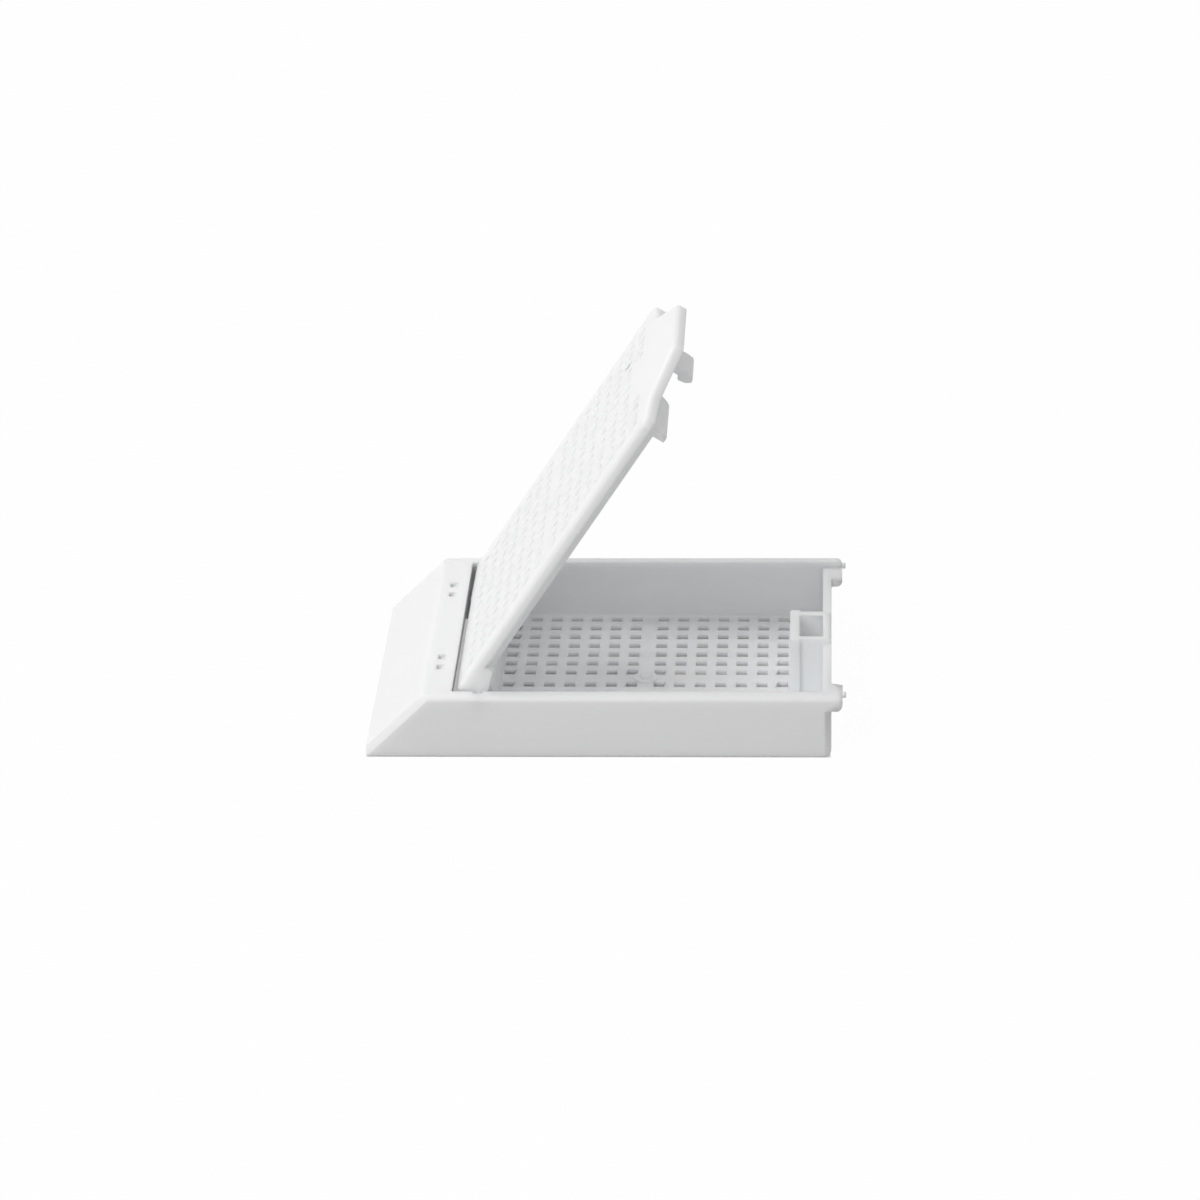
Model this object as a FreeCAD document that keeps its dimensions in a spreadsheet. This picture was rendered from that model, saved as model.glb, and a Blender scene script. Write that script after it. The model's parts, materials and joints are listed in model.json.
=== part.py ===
"""Histology tissue cassette: a perforated tray with a slanted writing end, and its hinged lid.

Two mouldings. The base holds the tray, the writing face and the latch box. The lid turns on two
pins that snap into the side walls behind the writing end, and latches over the opposite end wall.

Row frame: +X runs from the writing end to the latch end, +Y to the far side and +Z up. The origin
is the middle of the footprint, on the underside. Lengths are in millimetres.
"""
import FreeCAD, Part
import math
import os

import Sketcher
from FreeCAD import Placement, Rotation, Vector

SIZES = [
    # Base, outer form
    ("tray_length", 39.6),          # tip of the writing end to the outer face of the end wall
    ("tray_width", 28.0),
    ("wall_height", 5.7),
    ("side_wall", 1.2),
    ("end_wall", 0.75),
    ("rim_drop", 0.5),              # the end wall is this much lower than the side walls
    ("tray_floor", 0.5),
    ("lip_height", 0.9),            # upright foot of the writing face
    ("slant_angle", 44.5),
    ("panel", 1.0),                 # thickness of the writing face and of the land behind it
    ("land_depth", 2.53),           # flat land between the writing face and the hinge well
    ("top_round", 0.45),
    ("corner_round", 0.6),
    ("foot_round", 0.2),
    ("slant_bevel", 0.6),
    # Base, hinge well
    ("well_length", 2.68),          # land edge to the cross wall
    ("cross_wall", 0.7),
    ("cross_drop", 0.7),            # cross wall top below the side walls
    ("lug_notch_width", 2.1),
    ("lug_notch_gap", 0.35),
    # Base, latch end
    ("latch_pocket_length", 2.0),
    ("latch_pocket_width", 4.2),
    ("latch_box_wall", 0.6),
    ("latch_box_front", 0.85),
    ("latch_box_lip", 0.27),        # the front wall of the box is wider by this on each side
    ("catch_depth", 1.35),          # rim above the latch window
    ("window_height", 1.9),
    ("ear_reach", 0.95),
    ("ear_height", 1.3),
    ("ear_width", 3.55),
    ("ear_round", 0.5),
    ("nub_radius", 0.25),
    ("nub_height", 0.3),
    ("nub_inset", 1.26),
    ("nub_drop", 0.32),
    # Base, small marks
    ("dent_width", 0.85),
    ("dent_length", 0.75),
    ("dent_depth", 0.4),
    ("dent_setback", 1.62),         # steep side of a dent to the edge of the land
    ("dent_offset", 6.2),
    ("dent_pitch", 1.95),
    ("gate_radius", 1.0),
    ("gate_height", 0.2),
    # Floor perforation: four blocks about a plain cross
    ("floor_hole", 0.95),
    ("floor_pitch_x", 1.8),
    ("floor_pitch_y", 1.77),
    ("floor_first_x", 1.2),
    ("floor_first_y", 1.18),
    ("floor_columns", 7),
    ("floor_rows", 7),
    ("floor_centre_setback", 16.25),    # plain cross to the outer face of the end wall
    # Hinge
    ("axis_setback", 2.26),         # land edge to the hinge axis
    ("axis_drop", 0.75),            # hinge axis below the top of the side walls
    ("pin_radius", 0.5),
    ("pin_clearance", 0.05),
    ("pin_length", 0.65),           # in the side wall
    ("socket_depth", 0.8),
    ("lead_width", 0.8),
    ("lead_depth", 0.35),
    ("open_angle", 56.8),
    # Lid
    ("plate", 1.0),
    ("seat_gap", 0.17),             # under the closed plate, above the side walls
    ("side_gap", 0.25),
    ("plate_start", 0.34),          # the plate begins this far behind the axis
    ("plate_bow", 0.25),
    ("shoulder_inset", 0.41),       # corner of the shoulder to the outer face of the end wall
    ("shoulder_rise", 0.6),
    ("shoulder_width", 17.2),
    ("shoulder_round", 0.8),
    ("tab_reach", 3.6),
    ("tab_width", 9.1),
    ("tab_round", 0.5),
    ("plate_round", 0.45),
    ("rib_inset", 0.9),
    ("rib_width", 0.7),
    ("rib_depth", 0.6),
    ("lug_width", 1.5),
    ("lug_radius", 0.68),
    ("lug_length", 2.74),
    ("lug_depth", 0.65),
    ("skirt_gap", 0.12),
    ("skirt_root", 0.8),
    ("skirt_tip", 0.5),
    ("skirt_depth", 1.62),
    ("skirt_width", 7.2),
    ("skirt_side_gap", 0.8),
    ("skirt_round", 0.6),
    ("hook_width", 4.0),
    ("barb_gap", 0.04),
    ("barb_reach", 0.42),
    ("neck", 0.62),
    ("barb_drop", 1.5),             # barb below the underside of the plate
    ("hook_depth", 2.65),
    ("hook_round", 0.5),
    # Lid perforation
    ("lid_hole", 0.95),
    ("lid_pitch_x", 1.83),
    ("lid_pitch_y", 1.8),
    ("lid_first_x", 1.2),
    ("lid_first_y", 1.17),
    ("lid_columns", 7),
    ("lid_rows", 6),
    ("lid_centre_setback", 16.46),  # plain cross to the outer face of the end wall
    ("outer_rows_start", 2),        # rows beside the tab that leave out the eighth column
]

doc = FreeCAD.newDocument("TissueCassette")
sheet = doc.addObject("Spreadsheet::Sheet", "dims")
for row, (alias, size) in enumerate(SIZES, start=1):
    sheet.set(f"A{row}", alias)
    sheet.set(f"B{row}", str(size))
    sheet.setAlias(f"B{row}", alias)
doc.recompute()

# Places along X, as formulas of the sheet
TIP = "(-(dims.tray_length + dims.ear_reach + dims.nub_height) / 2)"
END = f"({TIP} + dims.tray_length)"
END_INNER = f"({END} - dims.end_wall)"
SLANT_TOP = f"({TIP} + (dims.wall_height - dims.lip_height) / tan(dims.slant_angle))"
LAND_EDGE = f"({SLANT_TOP} + dims.land_depth)"
CROSS_FACE = f"({LAND_EDGE} + dims.well_length)"
TRAY_START = f"({CROSS_FACE} + dims.cross_wall)"
POCKET_START = f"({END_INNER} - dims.latch_pocket_length)"
BOX_START = f"({POCKET_START} - dims.latch_box_front)"
AXIS_X = f"({LAND_EDGE} + dims.axis_setback)"
# Across Y, from the middle plane
HALF_WIDTH = "(dims.tray_width / 2)"
HALF_INNER = f"({HALF_WIDTH} - dims.side_wall)"
HALF_POCKET = "(dims.latch_pocket_width / 2)"
HALF_BOX = f"({HALF_POCKET} + dims.latch_box_wall)"
HALF_LID = f"({HALF_INNER} - dims.side_gap)"
# Heights
TOP = "dims.wall_height"
AXIS_Z = "(dims.wall_height - dims.axis_drop)"
CATCH_Z = "(dims.wall_height - dims.catch_depth)"
# Closed lid, from the hinge axis
UNDERSIDE = "(dims.axis_drop + dims.seat_gap)"
END_FROM_AXIS = f"({END} - {AXIS_X})"
SKIRT_FACE = f"({END_FROM_AXIS} - dims.end_wall - dims.skirt_gap)"


def value(formula):
    """Number that a formula gives with the sizes in the sheet."""
    result = sheet.evalExpression(formula)
    return float(getattr(result, "Value", result))


def near(a, b):
    """Whether two lengths are the same place."""
    return abs(a - b) < 1e-4


def origin_plane(body, role):
    """One of the body's own three origin planes."""
    return next(part for part in body.Origin.OriginFeatures if part.Role == role)


def new_sketch(body, name, role, lift="0", shift="0"):
    """Sketch on an origin plane, moved by lift along its normal and by shift along its first axis."""
    sketch = body.newObject("Sketcher::SketchObject", name)
    sketch.AttachmentSupport = [(origin_plane(body, role), "")]
    sketch.MapMode = "FlatFace"
    sketch.setExpression("AttachmentOffset.Base.z", lift)
    sketch.setExpression("AttachmentOffset.Base.x", shift)
    return sketch


def constrain(sketch, kind, *where, size):
    """Add a dimension and bind it to a formula."""
    index = sketch.addConstraint(Sketcher.Constraint(kind, *where, value(size)))
    sketch.setExpression(f"Constraints[{index}]", size)


def place(sketch, edge, end, x, y):
    """Fix one end of a sketch edge at two formulas."""
    for kind, size in (("DistanceX", x), ("DistanceY", y)):
        constrain(sketch, kind, -1, 1, edge, end, size=size)


def draw_chain(sketch, corners):
    """Open chain of straight lines through corners given as formulas."""
    points = [Vector(value(x), value(y), 0) for x, y in corners]
    lines = [sketch.addGeometry(Part.LineSegment(start, end)) for start, end in zip(points, points[1:])]
    for line, following in zip(lines, lines[1:]):
        sketch.addConstraint(Sketcher.Constraint("Coincident", line, 2, following, 1))
    for line, (x, y) in zip(lines, corners):
        place(sketch, line, 1, x, y)
    place(sketch, lines[-1], 2, *corners[-1])
    return lines


def draw_outline(sketch, corners):
    """Closed outline of straight lines through corners given as formulas."""
    lines = draw_chain(sketch, corners)
    first = Vector(value(corners[0][0]), value(corners[0][1]), 0)
    last = Vector(value(corners[-1][0]), value(corners[-1][1]), 0)
    closing = sketch.addGeometry(Part.LineSegment(last, first))
    sketch.addConstraint(Sketcher.Constraint("Coincident", lines[-1], 2, closing, 1))
    sketch.addConstraint(Sketcher.Constraint("Coincident", closing, 2, lines[0], 1))


def draw_rectangle(sketch, left, right, low, high):
    """Rectangle between four formulas."""
    draw_outline(sketch, [(left, low), (right, low), (right, high), (left, high)])


def draw_circle(sketch, x, y, radius):
    """Circle about a point given as formulas."""
    centre = Vector(value(x), value(y), 0)
    circle = sketch.addGeometry(Part.Circle(centre, Vector(0, 0, 1), value(radius)))
    place(sketch, circle, 3, x, y)
    constrain(sketch, "Radius", circle, size=radius)


def add_pad(body, name, sketch, length, symmetric=False, reverse=False):
    """Pad that adds a sketch's area along its normal."""
    pad = body.newObject("PartDesign::Pad", name)
    pad.Profile = sketch
    pad.SideType = "Symmetric" if symmetric else "One side"
    pad.Reversed = reverse
    pad.setExpression("Length", length)
    doc.recompute()
    return pad


def add_pocket(body, name, sketch, depth, symmetric=False, reverse=False):
    """Pocket that takes a sketch's area away, against its normal, and has to remove something."""
    before = body.Tip.Shape.Volume
    pocket = body.newObject("PartDesign::Pocket", name)
    pocket.Profile = sketch
    pocket.SideType = "Symmetric" if symmetric else "One side"
    pocket.Reversed = reverse
    pocket.setExpression("Length", depth)
    doc.recompute()
    if pocket.Shape.Volume > before - 1e-6:
        raise RuntimeError(f"{name} removes nothing")
    return pocket


def add_fillet(body, name, radius, chosen):
    """Fillet on the edges of the body's tip that the test chooses."""
    base = body.Tip
    edges = [f"Edge{number}" for number, edge in enumerate(base.Shape.Edges, start=1) if chosen(edge)]
    fillet = body.newObject("PartDesign::Fillet", name)
    fillet.Base = (base, edges)
    fillet.setExpression("Radius", radius)
    doc.recompute()
    return fillet


def add_mirror(body, name, originals):
    """Repeat features on the other side of the middle plane."""
    mirror = body.newObject("PartDesign::Mirrored", name)
    mirror.Originals = originals
    mirror.MirrorPlane = (origin_plane(body, "XZ_Plane"), [""])
    body.Tip = mirror
    doc.recompute()
    return mirror


def add_grid(body, name, original, along_x, along_y):
    """Repeat a feature in rows and columns on both sides of the axes of its own sketch.

    along_x and along_y are each a pair of formulas, how many and the pitch. Without along_x the
    feature is repeated in its own column only.
    """
    sketch = original.Profile[0]
    grid = body.newObject("PartDesign::MultiTransform", name)
    steps = []
    directions = [("H_Axis", along_x), ("V_Axis", along_y)]
    for axis, (count, pitch) in [direction for direction in directions if direction[1]]:
        pattern = body.newObject("PartDesign::LinearPattern", f"{name}{axis[0]}")
        pattern.Direction = (sketch, [axis])
        pattern.Mode = "Spacing"
        pattern.setExpression("Occurrences", count)
        pattern.setExpression("Offset", pitch)
        steps.append(pattern)
    for axis in ("V_Axis", "H_Axis") if along_x else ("H_Axis",):
        mirror = body.newObject("PartDesign::Mirrored", f"{name}Mirror{axis[0]}")
        mirror.MirrorPlane = (sketch, [axis])
        steps.append(mirror)
    grid.Originals = [original]
    grid.Transformations = steps
    body.Tip = grid
    doc.recompute()
    return grid


def is_line_along(edge, axis):
    """Whether an edge is straight and runs along a unit axis."""
    if not isinstance(edge.Curve, Part.Line):
        return False
    return abs(edge.Curve.Direction.dot(axis)) > 0.9999


def middle(edge):
    """Mid-point of an edge's box."""
    return edge.BoundBox.Center


ALONG_X = Vector(1, 0, 0)
ALONG_Y = Vector(0, 1, 0)
ALONG_Z = Vector(0, 0, 1)


def build_block(body):
    """Solid outer form of the base: the tray's block with the slanted writing face."""
    sketch = new_sketch(body, "BlockProfile", "XZ_Plane")
    draw_outline(sketch, [
        (TIP, "0"),
        (END, "0"),
        (END, TOP),
        (SLANT_TOP, TOP),
        (TIP, "dims.lip_height"),
    ])
    add_pad(body, "Block", sketch, "dims.tray_width", symmetric=True)

    half = value(HALF_WIDTH)
    end = value(END)
    slant = Vector(1, 0, math.tan(math.radians(value("dims.slant_angle")))).normalize()
    bevel = body.newObject("PartDesign::Chamfer", "SlantBevel")
    block = doc.getObject("Block")
    bevel.Base = (block, [f"Edge{number}" for number, edge in enumerate(block.Shape.Edges, start=1)
                          if is_line_along(edge, slant)])
    bevel.setExpression("Size", "dims.slant_bevel")
    doc.recompute()
    add_fillet(body, "EndCorners", "dims.corner_round",
               lambda edge: near(edge.BoundBox.XMin, end)
               and (is_line_along(edge, ALONG_Z) or near(edge.BoundBox.ZMax, 0.0)))
    top = value(TOP)
    add_fillet(body, "LongEdges", "dims.top_round",
               lambda edge: is_line_along(edge, ALONG_X) and near(middle(edge).z, top)
               and near(abs(middle(edge).y), half))
    add_fillet(body, "FootEdges", "dims.foot_round",
               lambda edge: is_line_along(edge, ALONG_X) and near(middle(edge).z, 0.0)
               and near(abs(middle(edge).y), half))


def build_ears(body):
    """Ears that carry the side walls and the rim past the end wall, each with a small nub."""
    sketch = new_sketch(body, "EarSection", "YZ_Plane", lift=END_INNER)
    corner = "dims.top_round"
    outer_y = f"-{HALF_WIDTH}"
    round_y = f"(-{HALF_WIDTH} + {corner})"
    wall_y = f"-{HALF_INNER}"
    block_y = f"(-{HALF_WIDTH} + dims.ear_width)"
    low = f"({TOP} - dims.ear_height)"
    rim = f"({TOP} - dims.rim_drop)"
    corners = [(round_y, TOP), (wall_y, TOP), (wall_y, rim), (block_y, rim), (block_y, low),
               (outer_y, low), (outer_y, f"({TOP} - {corner})")]
    lines = draw_chain(sketch, corners)
    radius = value(corner)
    centre = Vector(value(round_y), value(TOP) - radius, 0)
    circle = Part.Circle(centre, Vector(0, 0, 1), radius)
    arc = sketch.addGeometry(Part.ArcOfCircle(circle, math.pi / 2, math.pi))
    sketch.addConstraint(Sketcher.Constraint("Coincident", arc, 1, lines[0], 1))
    sketch.addConstraint(Sketcher.Constraint("Coincident", arc, 2, lines[-1], 2))
    constrain(sketch, "Radius", arc, size=corner)
    ear = add_pad(body, "Ear", sketch, "dims.end_wall + dims.ear_reach")
    add_mirror(body, "EarFar", [ear])
    face = value(END) + value("dims.ear_reach")
    add_fillet(body, "EarCorners", "dims.ear_round",
               lambda edge: near(edge.BoundBox.XMin, face)
               and (is_line_along(edge, ALONG_Z) and near(abs(middle(edge).y), value(HALF_WIDTH))
                    or near(edge.BoundBox.ZMax, value(low))))

    circle = new_sketch(body, "NubCircle", "YZ_Plane", lift=f"({END} + dims.ear_reach)")
    draw_circle(circle, f"(-{HALF_WIDTH} + dims.nub_inset)", f"({TOP} - dims.nub_drop)", "dims.nub_radius")
    nub = add_pad(body, "Nub", circle, "dims.nub_height")
    add_mirror(body, "NubFar", [nub])


def build_tray(body):
    """Hollow of the tray, which runs round the latch box to the end wall."""
    sketch = new_sketch(body, "TrayOutline", "XY_Plane", lift=TOP)
    box_y = HALF_BOX
    lip_y = f"({HALF_BOX} + dims.latch_box_lip)"
    draw_outline(sketch, [
        (TRAY_START, f"-{HALF_INNER}"),
        (END_INNER, f"-{HALF_INNER}"),
        (END_INNER, f"-{box_y}"),
        (POCKET_START, f"-{box_y}"),
        (POCKET_START, f"-{lip_y}"),
        (BOX_START, f"-{lip_y}"),
        (BOX_START, lip_y),
        (POCKET_START, lip_y),
        (POCKET_START, box_y),
        (END_INNER, box_y),
        (END_INNER, HALF_INNER),
        (TRAY_START, HALF_INNER),
    ])
    add_pocket(body, "Tray", sketch, "dims.wall_height - dims.tray_floor")

    rim = new_sketch(body, "RimOutline", "XY_Plane", lift=TOP)
    draw_rectangle(rim, END_INNER, f"({END} + dims.ear_reach)", f"-{HALF_INNER}", f"-{box_y}")
    lowered = add_pocket(body, "Rim", rim, "dims.rim_drop")
    add_mirror(body, "RimFar", [lowered])


def build_writing_end(body):
    """Hollow behind the writing face, the hinge well and the notches for the lid's lugs."""
    sketch = new_sketch(body, "WellProfile", "XZ_Plane")
    inner_foot = f"({TIP} - dims.lip_height / tan(dims.slant_angle) + dims.panel / sin(dims.slant_angle))"
    ceiling = f"({TOP} - dims.panel)"
    cross_top = f"({TOP} - dims.cross_drop)"
    draw_outline(sketch, [
        (inner_foot, "0"),
        (CROSS_FACE, "0"),
        (CROSS_FACE, cross_top),
        (TRAY_START, cross_top),
        (TRAY_START, TOP),
        (LAND_EDGE, TOP),
        (LAND_EDGE, ceiling),
        (f"({inner_foot} + {ceiling} / tan(dims.slant_angle))", ceiling),
    ])
    add_pocket(body, "Well", sketch, f"2 * {HALF_INNER}", symmetric=True)

    notch = new_sketch(body, "LugNotchProfile", "XZ_Plane", lift=HALF_INNER)
    draw_rectangle(notch, CROSS_FACE, TRAY_START,
                   f"({AXIS_Z} - dims.lug_radius - dims.lug_notch_gap)", cross_top)
    lug_notch = add_pocket(body, "LugNotch", notch, "dims.lug_notch_width")

    socket = new_sketch(body, "SocketCircle", "XZ_Plane", lift=HALF_INNER)
    draw_circle(socket, AXIS_X, AXIS_Z, "(dims.pin_radius + dims.pin_clearance)")
    pin_socket = add_pocket(body, "PinSocket", socket, "dims.socket_depth", reverse=True)

    lead = new_sketch(body, "LeadProfile", "XZ_Plane", lift=HALF_INNER)
    draw_rectangle(lead, f"({AXIS_X} - dims.lead_width / 2)", f"({AXIS_X} + dims.lead_width / 2)",
                   AXIS_Z, TOP)
    lead_in = add_pocket(body, "LeadIn", lead, "dims.lead_depth", reverse=True)
    add_mirror(body, "HingeFar", [lug_notch, pin_socket, lead_in])


def build_latch(body):
    """Pocket of the latch box and the window under the rim that the lid's barb springs into."""
    pocket = new_sketch(body, "LatchPocketOutline", "XY_Plane", lift=TOP)
    draw_rectangle(pocket, POCKET_START, END_INNER, f"-{HALF_POCKET}", HALF_POCKET)
    add_pocket(body, "LatchPocket", pocket, "dims.wall_height - dims.tray_floor")

    window = new_sketch(body, "WindowOutline", "YZ_Plane", lift=END)
    draw_rectangle(window, f"-{HALF_POCKET}", HALF_POCKET, f"({CATCH_Z} - dims.window_height)", CATCH_Z)
    add_pocket(body, "LatchWindow", window, "dims.end_wall")


def build_marks(body):
    """Wedge dents in the land, the gate boss in the middle of the floor and the floor's perforation."""
    dent = new_sketch(body, "DentProfile", "XZ_Plane", lift="dims.dent_offset - dims.dent_width / 2")
    steep = f"({LAND_EDGE} - dims.dent_setback)"
    draw_outline(dent, [
        (steep, TOP),
        (steep, f"({TOP} - dims.dent_depth)"),
        (f"({steep} + dims.dent_length)", TOP),
    ])
    first_dent = add_pocket(body, "Dent", dent, "dims.dent_width", reverse=True)
    pair = body.newObject("PartDesign::MultiTransform", "Dents")
    beside = body.newObject("PartDesign::LinearPattern", "DentBeside")
    beside.Direction = (dent, ["N_Axis"])
    beside.Mode = "Spacing"
    beside.Occurrences = 2
    beside.setExpression("Offset", "dims.dent_pitch")
    across = body.newObject("PartDesign::Mirrored", "DentAcross")
    across.MirrorPlane = (origin_plane(body, "XZ_Plane"), [""])
    pair.Originals = [first_dent]
    pair.Transformations = [beside, across]
    body.Tip = pair
    doc.recompute()

    gate = new_sketch(body, "GateCircle", "XY_Plane", lift="dims.tray_floor",
                      shift=f"{END} - dims.floor_centre_setback")
    draw_circle(gate, "0", "0", "dims.gate_radius")
    add_pad(body, "GateBoss", gate, "dims.gate_height")

    hole = new_sketch(body, "FloorHole", "XY_Plane", lift="dims.tray_floor",
                      shift=f"{END} - dims.floor_centre_setback")
    draw_rectangle(hole, "(dims.floor_first_x - dims.floor_hole / 2)",
                   "(dims.floor_first_x + dims.floor_hole / 2)",
                   "(dims.floor_first_y - dims.floor_hole / 2)",
                   "(dims.floor_first_y + dims.floor_hole / 2)")
    first = add_pocket(body, "FloorPerforation", hole, "dims.tray_floor")
    add_grid(body, "FloorGrid", first, ("dims.floor_columns", "dims.floor_pitch_x"),
             ("dims.floor_rows", "dims.floor_pitch_y"))


def build_plate(body):
    """Plate of the lid, drawn closed and with the hinge axis as its origin.

    Its outer edges are rounded except the one at the hinge.
    """
    sketch = new_sketch(body, "PlateOutline", "XY_Plane", lift=UNDERSIDE)
    start = "-dims.plate_start"
    shoulder = f"({END_FROM_AXIS} - dims.shoulder_inset)"
    corners = [
        (start, f"-{HALF_LID}"),
        (shoulder, f"-{HALF_LID}"),
        (f"({shoulder} + dims.shoulder_rise)", "-(dims.shoulder_width / 2)"),
        (f"({END_FROM_AXIS} + dims.tab_reach)", "-(dims.tab_width / 2)"),
        (f"({END_FROM_AXIS} + dims.tab_reach)", "(dims.tab_width / 2)"),
        (f"({shoulder} + dims.shoulder_rise)", "(dims.shoulder_width / 2)"),
        (shoulder, HALF_LID),
        (start, HALF_LID),
    ]
    lines = draw_chain(sketch, corners)
    bow_radius = f"(({HALF_LID} * {HALF_LID} + dims.plate_bow * dims.plate_bow) / (2 * dims.plate_bow))"
    radius = value(bow_radius)
    swing = math.asin(value(HALF_LID) / radius)
    centre = Vector(value(start) - value("dims.plate_bow") + radius, 0, 0)
    circle = Part.Circle(centre, Vector(0, 0, 1), radius)
    arc = sketch.addGeometry(Part.ArcOfCircle(circle, math.pi - swing, math.pi + swing))
    sketch.addConstraint(Sketcher.Constraint("Coincident", arc, 1, lines[-1], 2))
    sketch.addConstraint(Sketcher.Constraint("Coincident", arc, 2, lines[0], 1))
    constrain(sketch, "Radius", arc, size=bow_radius)
    add_pad(body, "Plate", sketch, "dims.plate")
    add_fillet(body, "ShoulderCorners", "dims.shoulder_round",
               lambda edge: is_line_along(edge, ALONG_Z) and near(middle(edge).x, value(shoulder)))
    tab_end = value(END_FROM_AXIS) + value("dims.tab_reach")
    add_fillet(body, "TabCorners", "dims.tab_round",
               lambda edge: is_line_along(edge, ALONG_Z) and near(middle(edge).x, tab_end))
    outer = value(UNDERSIDE) + value("dims.plate")
    hinge_side = value(start)
    add_fillet(body, "PlateEdge", "dims.plate_round",
               lambda edge: near(edge.BoundBox.ZMin, outer) and near(edge.BoundBox.ZMax, outer)
               and edge.BoundBox.XMax > hinge_side + value("dims.plate_round"))


def build_ribs(body):
    """Rib under each long side, from the hinge lug to the skirt."""
    sketch = new_sketch(body, "RibOutline", "XY_Plane", lift=UNDERSIDE)
    outer = f"({HALF_LID} - dims.rib_inset)"
    draw_rectangle(sketch, "(dims.lug_length - dims.rib_width)", SKIRT_FACE, f"-{outer}",
                   f"-({outer} - dims.rib_width)")
    rib = add_pad(body, "Rib", sketch, "dims.rib_depth", reverse=True)
    add_mirror(body, "RibFar", [rib])


def build_lugs(body):
    """Hinge lugs: a web that runs down round the pin, tangent to the pin's boss, and the pin."""
    sketch = new_sketch(body, "LugProfile", "XZ_Plane", lift=HALF_LID)
    radius = value("dims.lug_radius")
    heel = Vector(-value("dims.plate_start"), value(UNDERSIDE), 0)
    toe = Vector(value("dims.lug_length"), value(UNDERSIDE) - value("dims.lug_depth"), 0)
    start = math.atan2(heel.y, heel.x) + math.acos(radius / heel.Length)
    end = math.atan2(toe.y, toe.x) - math.acos(radius / toe.Length) + 2 * math.pi
    circle = Part.Circle(Vector(0, 0, 0), Vector(0, 0, 1), radius)
    arc = sketch.addGeometry(Part.ArcOfCircle(circle, start, end))
    left = Vector(radius * math.cos(start), radius * math.sin(start), 0)
    right = Vector(radius * math.cos(end), radius * math.sin(end), 0)
    top_toe = Vector(toe.x, heel.y, 0)
    lines = [sketch.addGeometry(Part.LineSegment(first, last))
             for first, last in ((right, toe), (toe, top_toe), (top_toe, heel), (heel, left))]
    sketch.addConstraint(Sketcher.Constraint("Coincident", arc, 3, -1, 1))
    sketch.addConstraint(Sketcher.Constraint("Tangent", arc, 2, lines[0], 1))
    sketch.addConstraint(Sketcher.Constraint("Tangent", lines[3], 2, arc, 1))
    for line, following in zip(lines, lines[1:]):
        sketch.addConstraint(Sketcher.Constraint("Coincident", line, 2, following, 1))
    place(sketch, lines[1], 1, "dims.lug_length", f"({UNDERSIDE} - dims.lug_depth)")
    place(sketch, lines[2], 1, "dims.lug_length", UNDERSIDE)
    place(sketch, lines[3], 1, "-dims.plate_start", UNDERSIDE)
    constrain(sketch, "Radius", arc, size="dims.lug_radius")
    lug = add_pad(body, "Lug", sketch, "dims.lug_width", reverse=True)

    circle = new_sketch(body, "PinCircle", "XZ_Plane", lift=HALF_LID)
    draw_circle(circle, "0", "0", "dims.pin_radius")
    pin = add_pad(body, "Pin", circle, "dims.side_gap + dims.pin_length")
    add_mirror(body, "HingeFar", [lug, pin])


def build_skirts(body):
    """Skirts that drop inside the end wall on both sides of the latch box."""
    sketch = new_sketch(body, "SkirtProfile", "XZ_Plane", lift=f"({HALF_LID} - dims.skirt_side_gap)")
    draw_outline(sketch, [
        (f"({SKIRT_FACE} - dims.skirt_root)", UNDERSIDE),
        (f"({SKIRT_FACE} - dims.skirt_root)", f"({UNDERSIDE} - dims.skirt_depth)"),
        (f"({SKIRT_FACE} - dims.skirt_root + dims.skirt_tip)", f"({UNDERSIDE} - dims.skirt_depth)"),
        (SKIRT_FACE, f"({UNDERSIDE} - dims.rib_depth)"),
        (SKIRT_FACE, UNDERSIDE),
    ])
    skirt = add_pad(body, "Skirt", sketch, "dims.skirt_width", reverse=True)
    add_mirror(body, "SkirtFar", [skirt])
    inner = value(HALF_LID) - value("dims.skirt_side_gap") - value("dims.skirt_width")
    low = value(UNDERSIDE) - value("dims.skirt_depth")
    add_fillet(body, "SkirtCorners", "dims.skirt_round",
               lambda edge: is_line_along(edge, ALONG_X) and near(middle(edge).z, low)
               and near(abs(middle(edge).y), inner))


def build_hook(body):
    """Latch hook under the tab: it passes outside the end wall and its barb catches the rim."""
    sketch = new_sketch(body, "HookProfile", "XZ_Plane")
    barb = f"({END_FROM_AXIS} + dims.barb_gap)"
    inner = f"({barb} + dims.barb_reach)"
    outer = f"({inner} + dims.neck)"
    barb_z = f"({UNDERSIDE} - dims.barb_drop)"
    low = f"({UNDERSIDE} - dims.hook_depth)"
    draw_outline(sketch, [
        (inner, UNDERSIDE),
        (inner, f"({barb_z} + dims.barb_reach / 3)"),
        (barb, barb_z),
        (f"({barb} + dims.barb_reach / 3)", f"({low} + dims.barb_reach)"),
        (f"({barb} + dims.barb_reach)", low),
        (outer, low),
        (outer, UNDERSIDE),
    ])
    add_pad(body, "Hook", sketch, "dims.hook_width", symmetric=True)
    add_fillet(body, "HookHeel", "dims.hook_round",
               lambda edge: is_line_along(edge, ALONG_Y) and near(middle(edge).x, value(outer))
               and near(middle(edge).z, value(low)))


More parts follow.
